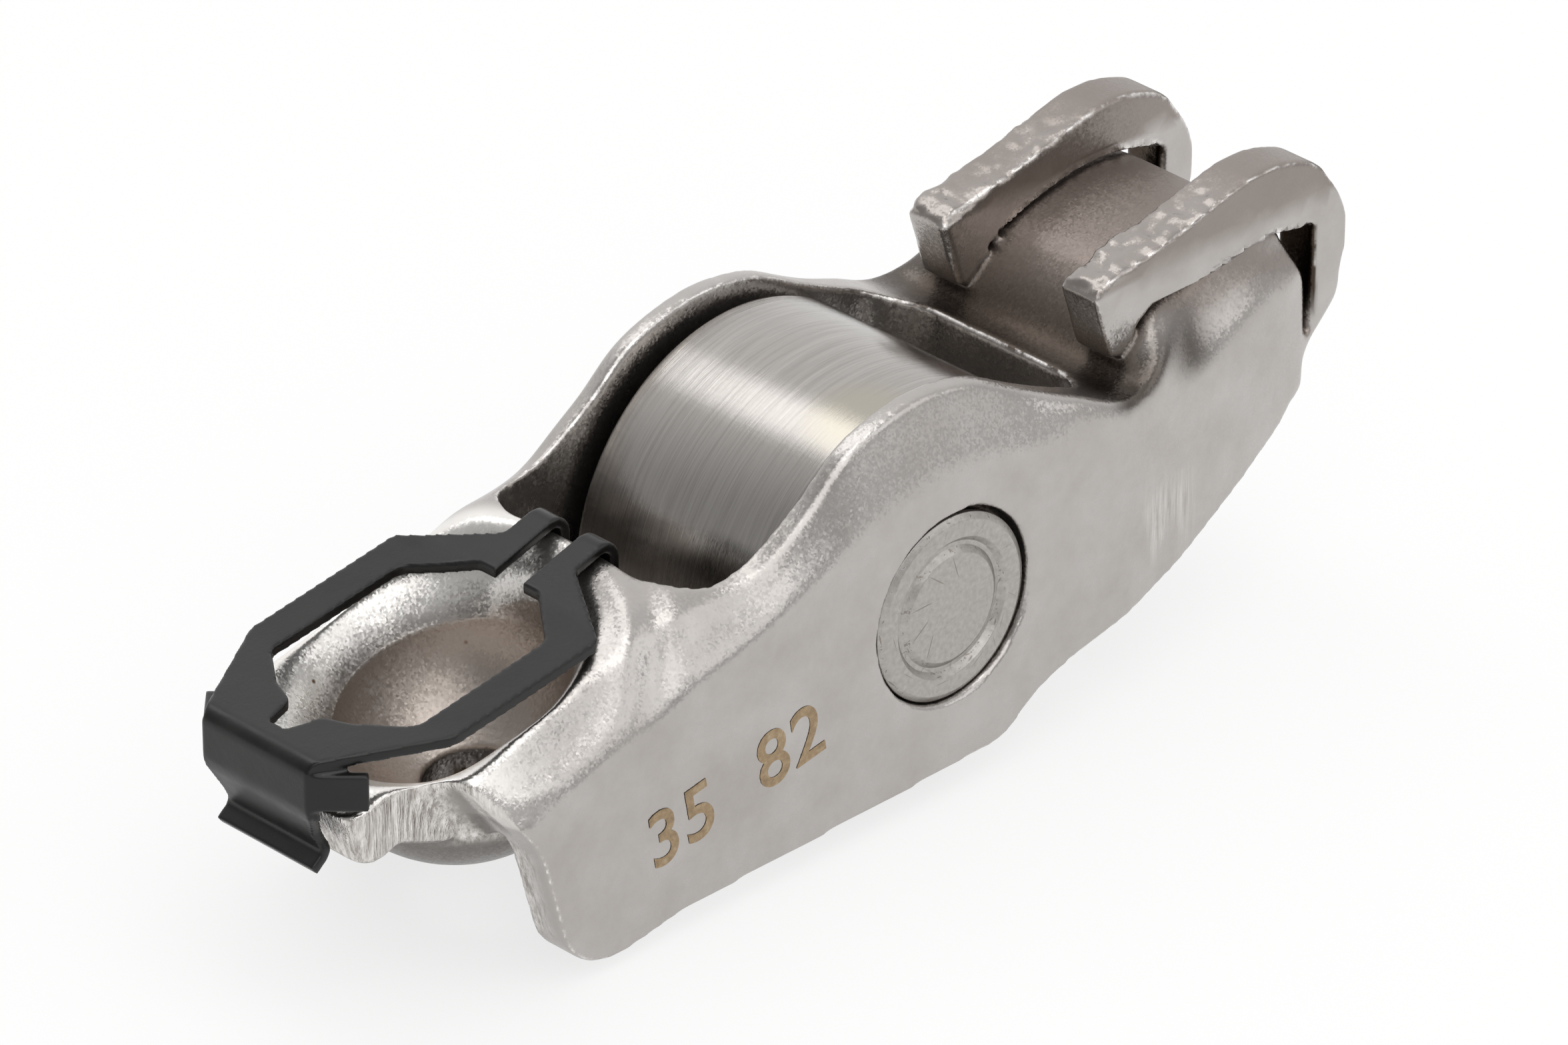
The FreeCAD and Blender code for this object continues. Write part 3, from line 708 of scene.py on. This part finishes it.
def rounded_outline(corners, steps=5):
    """(radius, y, rounding) corners as points, each corner rounded by its own radius."""
    points = []
    count = len(corners)
    for i, (a, b, r) in enumerate(corners):
        here = Vector((a, b))
        if r == 0:
            points.append((a, b))
            continue
        back = (Vector(corners[i - 1][:2]) - here).normalized()
        ahead = (Vector(corners[(i + 1) % count][:2]) - here).normalized()
        half = back.angle(ahead) / 2
        reach = r / math.tan(half)
        hub = here + (back + ahead).normalized() * (r / math.sin(half))
        start = here + back * reach - hub
        end = here + ahead * reach - hub
        for k in range(steps + 1):
            arm = start.slerp(end, k / steps).normalized() * r
            points.append(tuple(hub + arm))
    return points


def roller():
    """The ground ring, its corners broken."""
    outline = rounded_outline([
        (BORE_R, -ROLLER_HALF, 0.25),
        (ROLLER_R, -ROLLER_HALF, 0.35),
        (ROLLER_R, ROLLER_HALF, 0.35),
        (BORE_R, ROLLER_HALF, 0.25),
    ])
    piece = turned("roller_ring", outline, ground_steel(), 192)
    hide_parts("roller")
    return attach(piece, "roller")


def axle_pin():
    """The pin, each end face ringed and spread by the staking punch."""
    shank = PIN_END_R - 0.18
    ring = 0.71 * shank
    half = PIN_HALF
    side = [
        (shank, 0.0, 0),
        (shank, half - 0.54, 0.1),
        (PIN_END_R, half - 0.36, 0.06),
        (PIN_END_R, half - 0.16, 0.06),
        (PIN_END_R - 0.28, half, 0.1),
        (ring + 0.3, half, 0.08),
        (ring + 0.06, half - 0.26, 0.06),
        (ring - 0.12, half - 0.26, 0.06),
        (ring - 0.4, half - 0.04, 0.08),
        (0.0, half - 0.04, 0),
    ]
    mirrored = [(a, -b, r) for a, b, r in side[::-1]]
    outline = rounded_outline(mirrored + side[1:])
    piece = turned("pin", outline, pin_steel(), 128)
    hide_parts("axle_pin")
    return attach(piece, "lever")


def etched_numbers():
    """Plain numbers on the near wall, a hair proud of the steel."""
    curve = bpy.data.curves.new("plain numbers", "FONT")
    curve.body = "35  82"
    curve.size = 3.55 * MM
    curve.offset = 0.035 * MM
    curve.space_character = 1.05
    text = show("text outline", curve)
    bpy.context.view_layer.update()
    graph = bpy.context.evaluated_depsgraph_get()
    mesh = bpy.data.meshes.new_from_object(text.evaluated_get(graph))
    bpy.data.objects.remove(text)
    lean = math.radians(NUMBERS_LEAN)
    for vertex in mesh.vertices:
        across, rise, _ = vertex.co
        x = NUMBERS_AT[0] * MM + across * math.cos(lean) - rise * math.sin(lean)
        z = NUMBERS_AT[1] * MM + across * math.sin(lean) + rise * math.cos(lean)
        vertex.co = (x, -(WALL_Y + 0.02) * MM, z)
    mesh.materials.clear()
    mesh.materials.append(laser_etch())
    piece = show("etched_numbers", mesh)
    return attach(piece, "lever")


def socket_in(tree, name, kind, value):
    made = tree.interface.new_socket(name=name, in_out="INPUT", socket_type=kind)
    made.default_value = value
    return made.identifier


def bearing_needles():
    """The full set of loose needles, each with domed ends, evenly round the pin."""
    tree = bpy.data.node_groups.new("needle bearing set", "GeometryNodeTree")
    names = {
        "Count": ("NodeSocketInt", 8),
        "Pitch radius": ("NodeSocketFloat", 1.0),
        "Needle radius": ("NodeSocketFloat", 0.1),
        "Half length": ("NodeSocketFloat", 1.0),
    }
    keys = {name: socket_in(tree, name, *kind) for name, kind in names.items()}
    tree.interface.new_socket(name="Geometry", in_out="OUTPUT", socket_type="NodeSocketGeometry")
    given = add(tree, "NodeGroupInput")
    places = add(tree, "GeometryNodeMeshCircle", {"Vertices": (given, "Count"),
                                                  "Radius": (given, "Pitch radius")}, fill_type="NONE")
    upright = add(tree, "GeometryNodeTransform", {"Geometry": (places, "Mesh"),
                                                  "Rotation": (math.pi / 2, 0.0, 0.0)})
    flipped = add(tree, "ShaderNodeMath", {0: (given, "Half length"), 1: -1.0}, operation="MULTIPLY")
    low = add(tree, "ShaderNodeCombineXYZ", {"Y": (flipped, 0)})
    high = add(tree, "ShaderNodeCombineXYZ", {"Y": (given, "Half length")})
    line = add(tree, "GeometryNodeCurvePrimitiveLine", {"Start": (low, 0), "End": (high, 0)})
    divided = add(tree, "GeometryNodeResampleCurve", {"Curve": (line, "Curve"), "Count": 33})
    along = add(tree, "GeometryNodeSplineParameter")
    centred = add(tree, "ShaderNodeMapRange", {"Value": (along, "Factor"), "To Min": -1.0, "To Max": 1.0})
    squared = add(tree, "ShaderNodeMath", {0: (centred, "Result"), 1: 24.0}, operation="POWER")
    left = add(tree, "ShaderNodeMath", {0: 1.0, 1: (squared, 0)}, operation="SUBTRACT")
    rooted = add(tree, "ShaderNodeMath", {0: (left, 0)}, operation="SQRT")
    thick = add(tree, "ShaderNodeMath", {0: (rooted, 0), 1: 0.02}, operation="MAXIMUM")
    sized = add(tree, "GeometryNodeSetCurveRadius", {"Curve": (divided, "Curve"), "Radius": (thick, 0)})
    profile = add(tree, "GeometryNodeCurvePrimitiveCircle", {"Resolution": 16,
                                                             "Radius": (given, "Needle radius")})
    rod = add(tree, "GeometryNodeCurveToMesh", {"Curve": (sized, "Curve"), "Fill Caps": True,
                                                "Profile Curve": (profile, "Curve")})
    spread = add(tree, "GeometryNodeInstanceOnPoints", {"Points": (upright, "Geometry"),
                                                        "Instance": (rod, "Mesh")})
    real = add(tree, "GeometryNodeRealizeInstances", {"Geometry": (spread, "Instances")})
    smooth = add(tree, "GeometryNodeSetShadeSmooth", {"Geometry": (real, "Geometry")})
    steel = add(tree, "GeometryNodeSetMaterial", {"Geometry": (smooth, "Geometry"),
                                                  "Material": needle_steel()})
    add(tree, "NodeGroupOutput", {"Geometry": (steel, "Geometry")})

    piece = show("bearing_needles", bpy.data.meshes.new("bearing needles"))
    maker = piece.modifiers.new("needles", "NODES")
    maker.node_group = tree
    maker[keys["Count"]] = NEEDLE_COUNT
    maker[keys["Pitch radius"]] = PITCH_R * MM
    maker[keys["Needle radius"]] = NEEDLE_R * MM
    maker[keys["Half length"]] = NEEDLE_HALF * MM
    baked(piece)
    needles = [name for name in frame["nodes"] if name.startswith("needle_")]
    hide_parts(*needles)
    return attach(piece, "needle_set")


def floor():
    size = 1.5
    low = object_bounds()[0][2]
    mesh = bpy.data.meshes.new("floor")
    corners = [(-size, -size, low), (size, -size, low), (size, size, low), (-size, size, low)]
    mesh.from_pydata(corners, [], [(0, 1, 2, 3)])
    mesh.materials.append(floor_paper())
    show("floor", mesh)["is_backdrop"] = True


def area_light(name, at, size, power, aim=None):
    """A soft box at a place in metres; it faces down, or towards aim."""
    lamp = bpy.data.lights.new(name, "AREA")
    lamp.shape = "RECTANGLE"
    lamp.size, lamp.size_y = size
    lamp.energy = power
    box = bpy.data.objects.new(name, lamp)
    bpy.context.scene.collection.objects.link(box)
    box.location = at
    if aim:
        box.rotation_euler = (Vector(aim) - Vector(at)).to_track_quat("-Z", "Y").to_euler()
    return box


def studio():
    """A long soft box overhead, weak ones in front, and a room that pales to the right behind."""
    area_light("overhead strip", (0.02, 0.2, 1.0), (0.42, 1.7), 2.9)
    area_light("front fill", (0.7, -1.0, 0.6), (0.8, 0.8), 2.0, aim=(0.0, 0.0, 0.0))
    area_light("high front", (-0.25, -0.62, 0.74), (1.0, 1.0), 3.9, aim=(0.0, 0.0, 0.0))
    world = bpy.data.worlds.new("studio")
    bpy.context.scene.world = world
    world.use_nodes = True
    tree = world.node_tree
    tree.nodes.clear()
    seen = add(tree, "ShaderNodeLightPath")
    way = add(tree, "ShaderNodeTexCoord")
    facing = add(tree, "ShaderNodeVectorMath", {0: (way, "Generated"), 1: (0.62, 0.6, 0.5)},
                 operation="DOT_PRODUCT")
    level = add(tree, "ShaderNodeMapRange", {"Value": (facing, "Value"), "From Min": 0.1, "From Max": 0.9,
                                             "To Min": 0.42, "To Max": 1.0},
                interpolation_type="SMOOTHSTEP")
    room = add(tree, "ShaderNodeBackground", {"Color": tint("#FFFFFF"), "Strength": (level, "Result")})
    white = add(tree, "ShaderNodeBackground", {"Color": tint("#FFFFFF"), "Strength": 1.0})
    both = add(tree, "ShaderNodeMixShader", {0: (seen, "Is Camera Ray"), 1: (room, 0), 2: (white, 0)})
    add(tree, "ShaderNodeOutputWorld", {"Surface": (both, 0)})
    bpy.context.scene.view_settings.view_transform = "Standard"


def camera():
    lens = bpy.data.cameras.new("camera")
    lens.sensor_width = SENSOR
    lens.lens = FOCAL_PIXELS / IMAGE_WIDTH * SENSOR
    lens.clip_start = 0.01
    eye = bpy.data.objects.new("camera", lens)
    bpy.context.scene.collection.objects.link(eye)
    eye.location = CAMERA_AT * MM
    eye.rotation_euler = CAMERA_FORWARD.to_track_quat("-Z", "Y").to_euler()
    bpy.context.scene.camera = eye


camera()
studio()
lever()
clip()
roller()
axle_pin()
bearing_needles()
etched_numbers()
floor()

bpy.context.view_layer.update()
